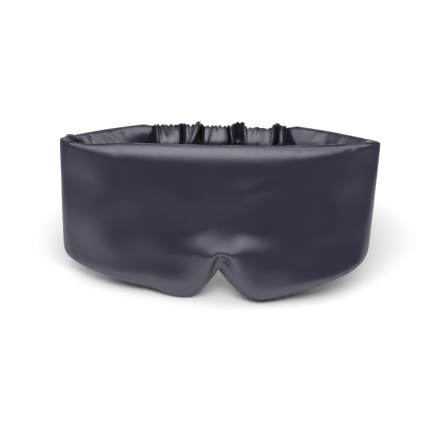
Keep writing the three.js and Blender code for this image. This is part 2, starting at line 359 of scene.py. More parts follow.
def matt_cloth(name, color, roughness, pitch):
    """A plain woven cloth with no shine."""
    material, shader, tree = principled(name, Roughness=roughness, Specular_IOR_Level=0.25)
    uv = add_node(tree, "ShaderNodeTexCoord", "UV")
    warp = bump(tree, wave(tree, uv, pitch, "X"), 0.3, 0.1 * MM)
    weft = bump(tree, wave(tree, uv, pitch, "Y"), 0.3, 0.1 * MM, Normal=warp)
    set_inputs(shader, Base_Color=shades(tree, noise(tree, uv, 200, 3), color, 0.7, 1.3), Normal=weft)
    return material


def fleece(name, color):
    """Polyester wadding: pale tangled fibres."""
    material, shader, tree = principled(name, Roughness=1.0, Specular_IOR_Level=0.1, Sheen_Weight=0.4)
    fibres = noise(tree, add_node(tree, "ShaderNodeTexCoord", "Object"), 900, 6)
    tangle = bump(tree, fibres, 0.8, 0.6 * MM)
    set_inputs(shader, Base_Color=shades(tree, fibres, color, 0.7, 1), Normal=tangle)
    return material


def twisted_thread(name, color):
    """Sewing thread: bands of light and shade that run round it aslant."""
    material, shader, tree = principled(name, Roughness=0.55)
    ply = wave(tree, add_node(tree, "ShaderNodeTexCoord", "Object"), THREAD_PITCH, "DIAGONAL")
    twist = bump(tree, ply, 0.6, 0.1 * MM)
    set_inputs(shader, Base_Color=shades(tree, ply, color, 0.6, 1.2), Normal=twist)
    return material


# ---- mesh building ----
def grid_faces(columns, rows, first=0, flip=False):
    """Quads over a columns x rows grid of vertices numbered row by row inside each column."""
    i, j = np.meshgrid(np.arange(columns - 1), np.arange(rows - 1), indexing="ij")
    a = (first + i * rows + j).ravel()
    quads = np.stack([a, a + rows, a + rows + 1, a + 1], -1)
    return quads[:, ::-1] if flip else quads


def closed_faces(columns, rows):
    """Faces of two like grids, one behind the other, joined round the rim. The second's vertices follow."""
    count = columns * rows
    index = np.arange(count).reshape(columns, rows)
    rim = np.concatenate([index[:, 0], index[-1, 1:], index[-2::-1, -1], index[0, -2:0:-1]])
    ahead = np.roll(rim, -1)
    sides = np.stack([ahead, rim, rim + count, ahead + count], -1)
    return np.concatenate([grid_faces(columns, rows), grid_faces(columns, rows, count, flip=True), sides])


SHARP_ANGLE = math.radians(55)


def new_object(name, points, faces, material, uv=None):
    """A mesh object; uv is given for each point."""
    mesh = bpy.data.meshes.new(name)
    mesh.from_pydata(points.tolist(), [], [list(map(int, f)) for f in faces])
    if material:
        mesh.materials.append(material)
    mesh.shade_smooth()
    if uv is not None:
        corners = np.empty(len(mesh.loops), np.int32)
        mesh.loops.foreach_get("vertex_index", corners)
        layer = mesh.uv_layers.new(name="cloth")
        layer.data.foreach_set("uv", uv[corners].astype(np.float32).ravel())
        mesh.set_sharp_from_angle(angle=SHARP_ANGLE)
    obj = bpy.data.objects.new(name, mesh)
    bpy.context.scene.collection.objects.link(obj)
    return obj


def grid_normals(grid):
    return unit(np.cross(np.gradient(grid, axis=0), np.gradient(grid, axis=1)))


def arc_lengths(grid, axis):
    """Length travelled along the grid's lines on this axis."""
    steps = np.linalg.norm(np.diff(grid, axis=axis), axis=-1)
    pad = [(0, 0), (0, 0)]
    pad[axis] = (1, 0)
    return np.pad(np.cumsum(steps, axis=axis), pad)


def cloth_from_grid(name, grid, thickness, material):
    """A closed cloth: the grid's surface, and the same a thickness behind it, joined round the rim.
    grid is (columns, rows, 3) in the row frame, with the cloth's face towards column x row."""
    columns, rows = grid.shape[:2]
    behind = grid - thickness * grid_normals(grid)
    points = np.concatenate([grid.reshape(-1, 3), behind.reshape(-1, 3)])
    points[:, 2] = np.maximum(points[:, 2], 0)  # what would hang below the floor lies on it
    along = arc_lengths(grid, 0).mean(1, keepdims=True) * np.ones(rows)
    across = arc_lengths(grid, 1).mean(0) * np.ones((columns, 1))
    uv = np.stack([along, across], -1).reshape(-1, 2)
    return new_object(name, points, closed_faces(columns, rows), material, np.concatenate([uv, uv]))


def spline_weights(positions, samples):
    """Catmull-Rom weights, one row for each sample, of values at evenly spaced positions."""
    spacing = positions[1] - positions[0]
    t = np.clip((samples - positions[0]) / spacing, 0, len(positions) - 1 - 1e-9)
    i = t.astype(int)
    f = t - i
    parts = (
        (-1, -0.5 * f + f**2 - 0.5 * f**3),
        (0, 1 - 2.5 * f**2 + 1.5 * f**3),
        (1, 0.5 * f + 2 * f**2 - 1.5 * f**3),
        (2, -0.5 * f**2 + 0.5 * f**3),
    )
    weights = np.zeros((len(samples), len(positions)))
    for shift, share in parts:
        index = np.clip(i + shift, 0, len(positions) - 1)
        np.add.at(weights, (np.arange(len(samples)), index), share)
    return weights


def tube(name, path, radius, material, sides=6):
    """A closed round cord along a path of row-frame points."""
    along = unit(np.gradient(path, axis=0))
    across = unit(np.cross(along, UP + 0.01 * RIGHT))
    over = np.cross(along, across)
    turn = 2 * math.pi * np.arange(sides) / sides
    ring = np.cos(turn)[:, None] * across[:, None] + np.sin(turn)[:, None] * over[:, None]
    points = (path[:, None] + radius * ring).reshape(-1, 3)
    i, j = np.meshgrid(np.arange(len(path) - 1), np.arange(sides), indexing="ij")
    a, b = (i * sides + j).ravel(), (i * sides + (j + 1) % sides).ravel()
    faces = [list(q) for q in np.stack([a, b, b + sides, a + sides], -1)]
    faces += [list(range(sides))[::-1], list(range(len(points) - sides, len(points)))]
    return new_object(name, points, faces, material)


# ---- the pad's outline ----
# Pairs are for the left and the right half.
LOBE = (-24.5 * MM, 30 * MM)  # where the lobes hang lowest
CORNER = (78.5 * MM, 76 * MM)  # height at the creases
RISE = (0.78, 0.68)  # share of the rise from lobe to crease that is spread evenly
CORNER_POWER = 9  # the rest comes quickly at the crease, as this power
LOBE_ROUND = 0.14  # share of the rise over which a lobe turns from level
NOTCH_POWER = (1.0, 0.97)  # how the notch's sides curve: the higher, the rounder its top
HANG = (1.5 * MM, 0.6 * MM)  # the stuffed edge hangs below its seam line
HANG_CHANGE = 10 * MM  # the left's passes into the right's over this much on both sides of the middle
LEFT_TUCK, LEFT_TUCK_AT, LEFT_TUCK_WIDTH = 2.4 * MM, -46 * MM, 13 * MM  # drawn up beside the left lobe
WING_RISE = 2 * MM  # the wings' top edges climb towards their ends
LEFT_SAG, LEFT_SAG_AT, LEFT_SAG_WIDTH = 2.4 * MM, 18 * MM, 24 * MM  # the top edge dips by the left crease
LEFT_SAG_START = (-3 * MM, 6 * MM)
WING_END_DROP, WING_END_ROUND = 1.6 * MM, 9 * MM  # the wings' top corners are cut off by this, over this
EDGE_POWER = 1.5  # of the climb and of the drop


def level_start(t, share):
    """Rises from 0 to 1 evenly, but starts level over about this share."""
    return (np.hypot(t, share) - share) / (math.hypot(1, share) - share)


def lower_edge(s):
    """Height below the top edge at which the pad ends, at s along the loop."""
    a = s - F / 2
    lobe, corner, rise, power = [np.where(a < 0, *pair) for pair in (LOBE, CORNER, RISE, NOTCH_POWER)]
    t = np.clip(a / lobe, 0, 1)
    notch = mix(NOSE_HEIGHT, LOBE_HEIGHT, np.sin(math.pi / 2 * t**power))
    t = np.clip((abs(a) - abs(lobe)) / (F / 2 - abs(lobe)), 0, 1)
    fall = rise * level_start(t, LOBE_ROUND) + (1 - rise) * t**CORNER_POWER
    side = mix(LOBE_HEIGHT, corner, fall)
    front = np.where(abs(a) < abs(lobe), notch, side)
    past = np.maximum(abs(a) - F / 2, 0) / W
    tuck = LEFT_TUCK * bell(a - LEFT_TUCK_AT, LEFT_TUCK_WIDTH)
    hang = mix(*HANG, smooth(a, -HANG_CHANGE, HANG_CHANGE))
    return np.where(past > 0, mix(corner, BAND_HEIGHT, past), front) + hang - tuck


def upper_edge(s):
    """Drop of the pad's top edge: it sags by the left crease, and the wings climb to rounded ends."""
    from_end = to_open_end(s)
    climb = WING_RISE * np.clip(1 - from_end / W, 0, 1) ** EDGE_POWER
    sag = LEFT_SAG * bell(s - LEFT_SAG_AT, LEFT_SAG_WIDTH) * smooth(s, *LEFT_SAG_START)
    return WING_END_DROP * (1 - smooth(from_end, 0, WING_END_ROUND)) ** EDGE_POWER - climb + sag


# ---- the pad before simulation ----
COARSE_COLUMNS, COARSE_ROWS = 207, 45
SEAM_HALF = 1.2 * MM  # half the pad's thickness beside a seam
SEAM_OPENING = 2 * MM  # the faces part to that over this distance
# How far in from its edge the padding rolls, at a crease and well away from it.
ROLL_AT_CREASE, ROLL_WING = 5 * MM, 16 * MM
ROLL_TOP, ROLL_BOTTOM, ROLL_NOTCH = 17 * MM, 21 * MM, 14 * MM
ROLL_SPREAD_LEFT, ROLL_SPREAD_RIGHT, ROLL_SPREAD_WING = 85 * MM, 105 * MM, 30 * MM  # from a crease
NOTCH_ZONE = 18 * MM  # half-width of the part over the nose with the small roll
WAIST = (0.35, 0.65)  # the front's lower roll passes into its upper one between these shares of the height
CROWN_POWER_TOP, CROWN_POWER_BOTTOM, CROWN_POWER_WING = 2.5, 4, 1.4  # the higher, the fuller near the edge
# How far it swells outwards and into the loop, and how far from a crease it has done so.
SWELL_FRONT, SWELL_SPREAD_FRONT = (5.5 * MM, 9 * MM), 45 * MM
SWELL_WING, SWELL_SPREAD_WING = (4 * MM, 8.5 * MM), 16 * MM
SWELL_START = -3 * MM  # a little is left right at a crease
MITRE, MITRE_LENGTH = 1.45, 30 * MM  # setback of the lining at a crease, per unit of depth
CREASE_ROUND_TOP = 1.2 * MM  # half the length over which a crease turns
CREASE_ROUND_LEFT, CREASE_ROUND_RIGHT = 10 * MM, 15 * MM  # the same at the bottom
CREASE_ROUND_POWER = 1.3
CREASE_SAMPLES = 13
LOBE_PUSH, LOBE_PUSH_OVER = 8 * MM, (-8 * MM, 18 * MM)  # the right lobe stands further forward
RIGHT_PUSH, RIGHT_PUSH_FROM = 5 * MM, 35 * MM  # and so does the foot of the right side
SIDE_LEAN, SIDE_LEAN_FROM = 3.5 * MM, 30 * MM  # the right side leans in towards the bottom


def to_lower_edge(s, h):
    """Distance on the flat cloth to the nearest point of the lower edge."""
    offsets = np.linspace(-16, 16, 33) * MM
    return np.minimum.reduce([np.hypot(offset, lower_edge(s + offset) - h) for offset in offsets])


def pad_point(s, v, side):
    """A point of the outer face (side 0) or the lining (side 1) at s, and at v from lower to top edge."""
    low, high = lower_edge(s), upper_edge(s)
    z = -mix(low, high, v)
    edge = np.minimum.reduce([to_lower_edge(s, -z), (1 - v) * (low - high), to_open_end(s)])
    crease = to_crease(s)
    in_front = (s > 0) & (s < F)
    above_waist = smooth(v, *WAIST)
    roll_spread = np.where(s < F / 2, ROLL_SPREAD_LEFT, ROLL_SPREAD_RIGHT)
    roll_spread = np.where(in_front, roll_spread, ROLL_SPREAD_WING)
    roll_bottom = mix(ROLL_BOTTOM, ROLL_NOTCH, bell(s - F / 2, NOTCH_ZONE))
    roll_far = np.where(in_front, mix(roll_bottom, ROLL_TOP, above_waist), ROLL_WING)
    roll = mix(ROLL_AT_CREASE, roll_far, smooth(crease, 0, roll_spread))
    power = mix(CROWN_POWER_BOTTOM, CROWN_POWER_TOP, above_waist)
    power = np.where(in_front | (side == 0), power, CROWN_POWER_WING)
    crown = 1 - (1 - np.clip(edge / roll, 0, 1)) ** power
    full = np.where(in_front, SWELL_FRONT[side], SWELL_WING[side])
    swell_spread = np.where(in_front, SWELL_SPREAD_FRONT, SWELL_SPREAD_WING)
    swell = full * crown * smooth(crease, SWELL_START, swell_spread)
    depth = -swell if side == 0 else 2 * SEAM_HALF * smooth(edge, 0, SEAM_OPENING) + swell
    setback = MITRE * np.maximum(depth, 0) * (1 - smooth(crease, 0, MITRE_LENGTH))
    s = np.where(abs(s) < abs(s - F), s + np.sign(s) * setback, s + np.sign(s - F) * setback)
    return chain(s, depth, z, (WING_LEFT, FRONT, WING_RIGHT), (-W, 0, F))


def pad_face(side):
    """One face before simulation, (columns, rows, 3) in the mask frame, averaged where a crease turns."""
    s = np.linspace(-W, F + W, COARSE_COLUMNS)[:, None] * np.ones(COARSE_ROWS)
    v = np.linspace(0, 1, COARSE_ROWS) * np.ones((COARSE_COLUMNS, 1))
    low = np.where(s < F / 2, CREASE_ROUND_LEFT, CREASE_ROUND_RIGHT)
    window = mix(CREASE_ROUND_TOP, low, (1 - v) ** CREASE_ROUND_POWER)
    window = window * (1 - smooth(to_crease(s), 0.5 * low, 3 * low))
    total, weights = 0, 0
    for offset in np.linspace(-1, 1, CREASE_SAMPLES):
        weight = 1 - 0.7 * abs(offset)
        total = total + weight * pad_point(s + offset * window, v, side)
        weights += weight
    grid = total / weights
    x, down = grid[..., 0], -grid[..., 2]
    foot = np.clip(down / BAND_HEIGHT, 0, 1.2) ** 1.3
    grid[..., 1] -= LOBE_PUSH * smooth(x, *LOBE_PUSH_OVER) * (down / LOBE_HEIGHT) ** 2
    grid[..., 1] -= RIGHT_PUSH * smooth(x, RIGHT_PUSH_FROM, CREASE_X) * foot
    grid[..., 0] -= SIDE_LEAN * smooth(x, SIDE_LEAN_FROM, CREASE_X) * down / BAND_HEIGHT
    return grid


# ---- the cloth simulation ----
PRESSURE = 4
SPARE_CLOTH = 0.03  # how much longer the cloth is than the flat pad
CREASE_HOLD, SEAM_HOLD = 0.6, 0.3  # how firmly the cloth is pinned there, 1 being fixed
SIM_FRAMES = 20
MOST_MOVE = 8 * MM
SOFTEN_REACH = 3  # grid points to each side
# Shares of the broad movement and of the wrinkles that are used: wadding holds the real cloth back.
SHELL_KEPT = (0.1, 0.03)
LINING_KEPT = (0.2, 0.08)


def pinned(columns, rows, on_rim):
    """How firmly each point of the pad's outer face is pinned."""
    s = np.linspace(-W, F + W, columns)
    hold = np.zeros((columns, rows))
    hold[to_crease(s) < 0.6 * (s[1] - s[0])] = CREASE_HOLD  # the nearest column or two
    hold[(0, -1), :] = 1
    hold[on_rim] = np.maximum(hold[on_rim], SEAM_HOLD)
    return hold


def add_cloth(pad):
    """The cloth modifier: pressure inside, and the groups hold and seam for pins and spare cloth."""
    modifier = pad.modifiers.new("cloth", "CLOTH")
    cloth = modifier.settings
    cloth.quality = 6
    cloth.mass = 0.15
    cloth.tension_stiffness = cloth.compression_stiffness = 15
    cloth.shear_stiffness = 5
    cloth.bending_stiffness = 0.5
    cloth.air_damping = 2
    cloth.vertex_group_mass = "hold"
    cloth.pin_stiffness = 1
    cloth.use_pressure = True
    cloth.uniform_pressure_force = PRESSURE
    cloth.vertex_group_shrink = "seam"
    cloth.shrink_min = -SPARE_CLOTH
    cloth.shrink_max = 0
    cloth.effector_weights.gravity = 0
    modifier.collision_settings.use_collision = False
    modifier.collision_settings.use_self_collision = False
    modifier.point_cache.frame_start, modifier.point_cache.frame_end = 1, SIM_FRAMES


def settled_points(pad):
    """Runs the simulation, and returns the pad's vertices at its end."""
    scene = bpy.context.scene
    for number in range(1, SIM_FRAMES + 1):
        scene.frame_set(number)
    settled = pad.evaluated_get(bpy.context.evaluated_depsgraph_get()).to_mesh()
    flat = np.empty(3 * len(settled.vertices))
    settled.vertices.foreach_get("co", flat)
    scene.frame_set(1)
    return flat.reshape(-1, 3)


def inflate(outer, inner):
    """Cloth simulation of the sewn pad under pressure. Returns the two settled grids."""
    columns, rows = outer.shape[:2]
    count = columns * rows
    second = np.arange(count, 2 * count).reshape(columns, rows)
    first = np.arange(count).reshape(columns, rows)
    on_rim = np.zeros((columns, rows), bool)
    on_rim[:, (0, -1)] = on_rim[(0, -1), :] = True
    second[on_rim] = first[on_rim]
    # The two faces share their rim, so the vertices are numbered again without the unused ones.
    used, number = np.unique(np.concatenate([first.ravel(), second.ravel()]), return_inverse=True)
    first, second = number[:count], number[count:]
    quads = grid_faces(columns, rows)
    faces = np.concatenate([first[quads], second[quads[:, ::-1]]])
    points = np.concatenate([outer.reshape(-1, 3), inner.reshape(-1, 3)])[used]
    pad = new_object("pad_in_simulation", points, faces, None)

    hold_grid = pinned(columns, rows, on_rim)
    hold = np.zeros(len(used))
    np.maximum.at(hold, first, hold_grid.ravel())
    np.maximum.at(hold, second, (hold_grid * on_rim).ravel())
    seam = np.zeros(len(used))
    seam[first[on_rim.ravel()]] = 1
    for name, weights in (("hold", hold), ("seam", seam)):
        group = pad.vertex_groups.new(name=name)
        for index in np.flatnonzero(weights):
            group.add([int(index)], float(weights[index]), "REPLACE")
    add_cloth(pad)
    moved = settled_points(pad) - points
    bpy.data.objects.remove(pad)
    distance = np.linalg.norm(moved, axis=1, keepdims=True)
    moved *= np.minimum(1, MOST_MOVE / np.maximum(distance, 1e-9))
    settled = []
    for grid, index, kept in ((outer, first, SHELL_KEPT), (inner, second, LINING_KEPT)):
        move = moved[index].reshape(columns, rows, 3)
        broad = soften(soften(move))
        settled.append(grid + kept[0] * broad + kept[1] * (move - broad))
    return settled


def soften(move):
    """The broad part of a displacement, without its wrinkles."""
    kernel = np.hanning(2 * SOFTEN_REACH + 3)[1:-1]
    kernel /= kernel.sum()
    for axis in (0, 1):
        pad = [(0, 0)] * 3
        pad[axis] = (SOFTEN_REACH, SOFTEN_REACH)
        spread = np.pad(move, pad, mode="edge")
        parts = [np.take(spread, range(k, k + move.shape[axis]), axis) for k in range(len(kernel))]
        move = sum(weight * part for weight, part in zip(kernel, parts))
    return move


# ---- folds and puckers that are finer than the simulation ----
SPLIT = 5 * MM  # the front's cloth runs this far round each crease before the wing's begins
FINE_ROWS, ROW_CROWDING = 90, 0.65
COLUMN_STEP = 1.05 * MM
SATIN_THICKNESS = 0.45 * MM
SEAM_GROOVE = (0.8 * MM, 0.2 * MM)  # how far the shell and the lining turn in towards the seam
SEAM_GROOVE_WIDTH = 1.3 * MM
RELIEF_START = 2.5 * MM  # folds reach their full height this far from an edge
PUCKER, PUCKER_LENGTH = (0.16 * MM, 0.25 * MM), 4 * MM  # on the shell and on the lining
FRONT_UNEVEN, LINING_UNEVEN = 0.3 * MM, 0.4 * MM
FRONT_END = 4 * MM  # the front's relief ends within this of a crease

# Each line: start (a, h), end (a, h), half-width, height, all in mm. On the front a is measured from the
# middle, on a wing from its crease. A positive height is a ridge, a negative one a furrow.
FRONT_LINES = (
    ((-1, 75.6), (7, 75.6), 1.2, -1.5),  # crease under the bulge over the nose
    ((2.5, 78.8), (-5, 88), 3.2, 0.5),  # two ridges that run down beside the notch
    ((2.5, 78.8), (9.5, 88), 3.2, 0.5),
    ((0, 87), (2.3, 81), 1.1, -0.6),  # and the furrow between them
    ((-50, 92), (-12, 96), 12, 1.6),  # the bellies of the two lobes
    ((24, 82), (56, 84), 11, 1.6),
    ((10, 35), (36, 25), 7, 0.8),  # broad soft swells
    ((4, 58), (28, 51), 4.5, 0.4),
    ((-106, 66), (-72, 42), 11, 0.6),
    ((40, 70), (80, 60), 8, 0.6),
    ((53, 0), (56, 6), 2.4, -0.3),  # tucks at the top seam
    ((94, 0), (90, 7), 2.2, -0.5),
    ((-72, 2), (-71, 11), 5, -0.6),
)
LEFT_LINING_LINES = (
    ((17.5, 2), (18, 24), 1.8, -2.8),  # folds that run down from the top seam
    ((24, 0), (25, 20), 2.6, 1.4),
    ((31, 3), (31.5, 26), 1.7, -2.8),
    ((44, 3), (56, 15), 2.4, -0.7),
    ((48, 1), (60, 12), 2.6, 0.8),
    ((32, 14), (60, 14), 6, 1.2),  # a roll along the seam
    ((64, 4), (71, 22), 2.6, -1.8),
    ((72, 4), (92, 4), 5, 1.8),  # the full end by the band, and the hollow under it
    ((72, 13), (90, 13), 5, -2),
    ((1, 2), (14, 2), 2.2, 2.2),  # the crumpled corner
    ((9, 0), (13, 5), 0.9, -1.2),
    ((3, 1), (6, 6), 0.8, -0.9),
)
RIGHT_LINING_LINES = (
    ((60, 1), (70, 12), 3.5, 0.7),  # folds that run down from the top seam
    ((53, 4), (42, 6), 3.4, 1),
    ((52, 9), (46, 18), 3, -2.6),
    ((40, 0), (42, 18), 4, 0.8),
    ((12, 14), (38, 15), 6, 2),  # a roll along the seam, and a hollow further on
    ((48, 15), (84, 15), 5, -2),
    ((11, 4), (11, 16), 1.6, -2.2),
    ((1, 2), (13, 2), 2.2, 2),  # the crumpled corner
    ((3, 1), (3, 10), 1, -1),
)
NOSE_BULGE, NOSE_BULGE_WIDTH = 6 * MM, 25 * MM  # the front bulges over the nose
NOSE_BULGE_AT = 3 * MM  # right of the middle
NOSE_LEFT, NOSE_RIGHT, NOSE_SIDES = 1.3, 0.85, (-16 * MM, 22 * MM)  # its size to the left and to the right
# Heights at which it starts, stands out most and has turned under, and how much that changes sideways.
NOSE_TOP, NOSE_TOP_DROP, NOSE_TOP_OVER = 54 * MM, 6 * MM, (0, 32 * MM)
NOSE_CREST, NOSE_CREST_RISE, NOSE_CREST_OVER = 76 * MM, 2.5 * MM, (6 * MM, 16 * MM)
NOSE_UNDER, NOSE_UNDER_DROP, NOSE_UNDER_OVER = 78.5 * MM, 26 * MM, (1 * MM, 16 * MM)
NOSE_CLIMB_POWER, NOSE_CLIMB_OVER = 1.6, (2 * MM, 18 * MM)  # a power at its middle, an even curve beside it
CORNER_WIDTH, CORNER_BUNCH = 10 * MM, 1.1 * MM  # the lining bunches up at the creases
CORNER_ROLL, CORNER_ROLL_AT, CORNER_ROLL_WIDTH = 2.2 * MM, 4 * MM, 3 * MM


def front_relief(a, h):
    """How far the front's outer face stands out from the settled pad."""
    gap = abs(a - NOSE_BULGE_AT)
    top = NOSE_TOP + NOSE_TOP_DROP * smooth(gap, *NOSE_TOP_OVER)
    crest = NOSE_CREST - NOSE_CREST_RISE * smooth(a, *NOSE_CREST_OVER)
    under = NOSE_UNDER + NOSE_UNDER_DROP * smooth(gap, *NOSE_UNDER_OVER)
    climb = np.clip((h - top) / (crest - top), 0, 1)
    shape = mix(climb**NOSE_CLIMB_POWER, smooth(climb, 0, 1), smooth(gap, *NOSE_CLIMB_OVER))
    rise = shape * (1 - smooth(h, crest - 1.5 * MM, under))
    size = mix(NOSE_LEFT, NOSE_RIGHT, smooth(a, *NOSE_SIDES))
    bulge = NOSE_BULGE * size * rise * bell(gap, NOSE_BULGE_WIDTH)
    uneven = FRONT_UNEVEN * smooth(h, 8 * MM, 30 * MM) * waves(3, 30 * MM, 80 * MM, 9, a, h)
    return bulge + strokes(a, h, FRONT_LINES) + uneven


def seam_puckers(seed, s, edge, height):
    """Small gathers square to a seam that die away from it."""
    return height * waves(seed, 4 * MM, 11 * MM, 7, s) * np.exp(-edge / PUCKER_LENGTH)


def relief(side, s, h, edge):
    """Displacement of a face outwards from the padding, at this distance from its edge."""
    if side == 0:
        a = s - F / 2
        inside = 1 - smooth(abs(a), F / 2 - FRONT_END, F / 2 + FRONT_END)
        return front_relief(a, h) * inside + seam_puckers(5, s, edge, PUCKER[0])
    left, right = np.maximum(-s, 0), np.maximum(s - F, 0)
    folds = strokes(left, h, LEFT_LINING_LINES) * smooth(left, 0, 3 * MM)
    folds = folds + strokes(right, h, RIGHT_LINING_LINES) * smooth(right, 0, 2 * MM)
    crumple = CORNER_BUNCH * waves(11, 3 * MM, 7 * MM, 6, s, 0.3 * h)
    roll = CORNER_ROLL * bell(h - CORNER_ROLL_AT, CORNER_ROLL_WIDTH)
    bunch = bell(to_crease(s), CORNER_WIDTH) * (crumple + roll)
    uneven = LINING_UNEVEN * waves(12, 25 * MM, 60 * MM, 8, s, h)
    return folds + bunch + uneven + seam_puckers(6, s, edge, PUCKER[1])


def refine(grid, s, v):
    """The settled grid at finer s and v."""
    along = spline_weights(np.linspace(-W, F + W, grid.shape[0]), s)
    up = spline_weights(np.linspace(0, 1, grid.shape[1]), v)
    return np.einsum("ia,jb,abk->ijk", along, up, grid, optimize=True)


def fine_face(coarse, side, start, end):
    """One piece's face from s = start to end, with its folds, (columns, rows, 3) in the mask frame."""
    columns = int((end - start) / COLUMN_STEP) + 1
    s = np.linspace(start, end, columns)
    v = crowded(FINE_ROWS, ROW_CROWDING)
    grid = refine(coarse, s, v)
    h = mix(lower_edge(s)[:, None], upper_edge(s)[:, None], v)
    from_bottom, from_top = arc_lengths(grid, 1), arc_lengths(grid[:, ::-1], 1)[:, ::-1]
    edge = np.minimum(from_bottom, from_top)
    normal = grid_normals(grid) * (1 if side == 0 else -1)
    height = relief(side, s[:, None] * np.ones(FINE_ROWS), h, edge) * smooth(edge, 0, RELIEF_START)
    grid = grid + normal * height[..., None]
    groove = bell(from_bottom, SEAM_GROOVE_WIDTH) - bell(from_top, SEAM_GROOVE_WIDTH)
    grid[..., 2] += SEAM_GROOVE[side] * groove
    return grid


PLACES = {  # from which s to which each place's cloth runs
    "left_wing": (-W, -SPLIT),
    "front": (-SPLIT, F + SPLIT),
    "right_wing": (F + SPLIT, F + W),
}


def stands_for(node):
    """Hides the CAD node whose place a piece takes."""
    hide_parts(node)


BEND_LENGTH = 14 * MM  # of the wing's cloth next to a crease, from the split on


def follow(piece, place):
    """The front's piece rides on its body; a wing's piece has its transform baked into its mesh."""
    if place == "front":
        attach(piece, "front")
        return
    points = [WING_RIGHT.at(s)[0] for s in (SPLIT, SPLIT + BEND_LENGTH)]
    if place == "left_wing":
        points = [point * MIRROR for point in points]
    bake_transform(piece)


# ---- wadding, blackout cloth and seam threads inside the pad ----
FILL_ROWS = 36
FILL_MARGIN = 9 * MM  # from a seam
FILL_CREASE_MARGIN, FILL_END_MARGIN = 14 * MM, 12 * MM  # from a crease and from a wing's end
FILL_CLEARANCE = 3.2 * MM  # inwards from each face, or less where the pad is thin
THIN_SHARE = 0.3
BLACKOUT_THICKNESS, BLACKOUT_LIFT = 0.3 * MM, 0.1 * MM
WADDING_DROP = 0.6 * MM  # from the blackout cloth's level to the wadding
TUFT = 0.25 * MM


def inset_grids(place, outer, inner):
    """The pad's two faces drawn in from their edges, for what lies inside."""
    start, end = PLACES[place]
    at_start = FILL_END_MARGIN if place == "left_wing" else FILL_CREASE_MARGIN
    at_end = FILL_END_MARGIN if place == "right_wing" else FILL_CREASE_MARGIN
    s = np.linspace(start + at_start, end - at_end, int((end - start) / (2 * COLUMN_STEP)))
    height = lower_edge(s).mean()
    v = np.linspace(FILL_MARGIN / height, 1 - FILL_MARGIN / height, FILL_ROWS)
    return refine(outer, s, v), refine(inner, s, v)


def build_filling(place, outer, inner, materials):
    """The wadding, a closed body between the pad's faces, and the blackout cloth behind the lining."""
    face, back = inset_grids(place, outer, inner)
    across = back - face
    gap = np.maximum(np.linalg.norm(across, axis=-1, keepdims=True), 1e-9)
    way = across / gap
    inset = np.minimum(FILL_CLEARANCE, THIN_SHARE * gap)
    cloth = to_row(back - way * (inset - BLACKOUT_LIFT))[:, ::-1]
    blackout = cloth_from_grid(f"{place}_blackout_cloth", cloth, BLACKOUT_THICKNESS, materials["blackout"])
    front_face, back_face = face + way * inset, back - way * (inset + WADDING_DROP)
    tuft = TUFT * waves(21, 2 * MM, 6 * MM, 8, *np.moveaxis(front_face, -1, 0))
    front_face = front_face + way * np.abs(tuft)[..., None]
    points = np.concatenate([to_row(front_face).reshape(-1, 3), to_row(back_face).reshape(-1, 3)])
    faces = closed_faces(*face.shape[:2])
    wadding = new_object(f"{place}_fleece_wadding", points, faces, materials["wadding"])
    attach(blackout, place)
    stands_for(f"{place}_blackout_layer")
    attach(wadding, place)
    stands_for(f"{place}_wadding")


STITCH_LENGTH, STITCH_SWAY, STITCH_POINTS = 2.4 * MM, 0.12 * MM, 4
THREAD_RADIUS = 0.2 * MM
THREAD_INSET, THREAD_MARGIN = 2.2 * MM, 6 * MM  # from the seam's rim, and from its ends


def stitching(name, path, material):
    """A thread that weaves a little up and down along a mask-frame path, as a run of lock stitches does."""
    length = np.linalg.norm(np.diff(path, axis=0), axis=-1).sum()
    count = int(length / (STITCH_LENGTH / STITCH_POINTS))
    t = np.linspace(0, len(path) - 1, count)
    fine = np.stack([np.interp(t, np.arange(len(path)), path[:, k]) for k in range(3)], -1)
    fine[:, 2] += STITCH_SWAY * np.sin(2 * math.pi * np.arange(count) / STITCH_POINTS)
    return tube(name, to_row(fine), THREAD_RADIUS, material)


def build_seam_threads(place, outer, material):
    """The stitching inside the bottom and the top seam of the front or of a wing."""
    start, end = PLACES[place]
    s = np.linspace(start + THREAD_MARGIN, end - THREAD_MARGIN, 120)
    for name, v, inset in (("bottom", 0, -THREAD_INSET), ("top", 1, THREAD_INSET)):
        rim = refine(outer, s, np.array([v]))[:, 0]
        thread = stitching(f"{place}_{name}_stitching", rim - [0, 0, inset], material)
        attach(thread, place)
        stands_for(f"{place}_{name}_seam")


def build_pad(materials):
    """The front and the wings: one pad, inflated whole and then split at the creases."""
    outer, inner = pad_face(0), pad_face(1)
    for rim in (np.s_[:, 0], np.s_[:, -1], np.s_[0], np.s_[-1]):
        outer[rim] = inner[rim] = (outer[rim] + inner[rim]) / 2
    outer, inner = inflate(outer, inner)
    for place, (start, end) in PLACES.items():
        face = to_row(fine_face(outer, 0, start, end))
        back = to_row(fine_face(inner, 1, start, end))
        for name, grid in (("shell", face), ("lining", back[:, ::-1])):
            piece = cloth_from_grid(f"{place}_{name}_satin", grid, SATIN_THICKNESS, materials[name])
            follow(piece, place)
            stands_for(f"{place}_{name}")
        build_filling(place, outer, inner, materials)
        build_seam_threads(place, outer, materials["thread"])
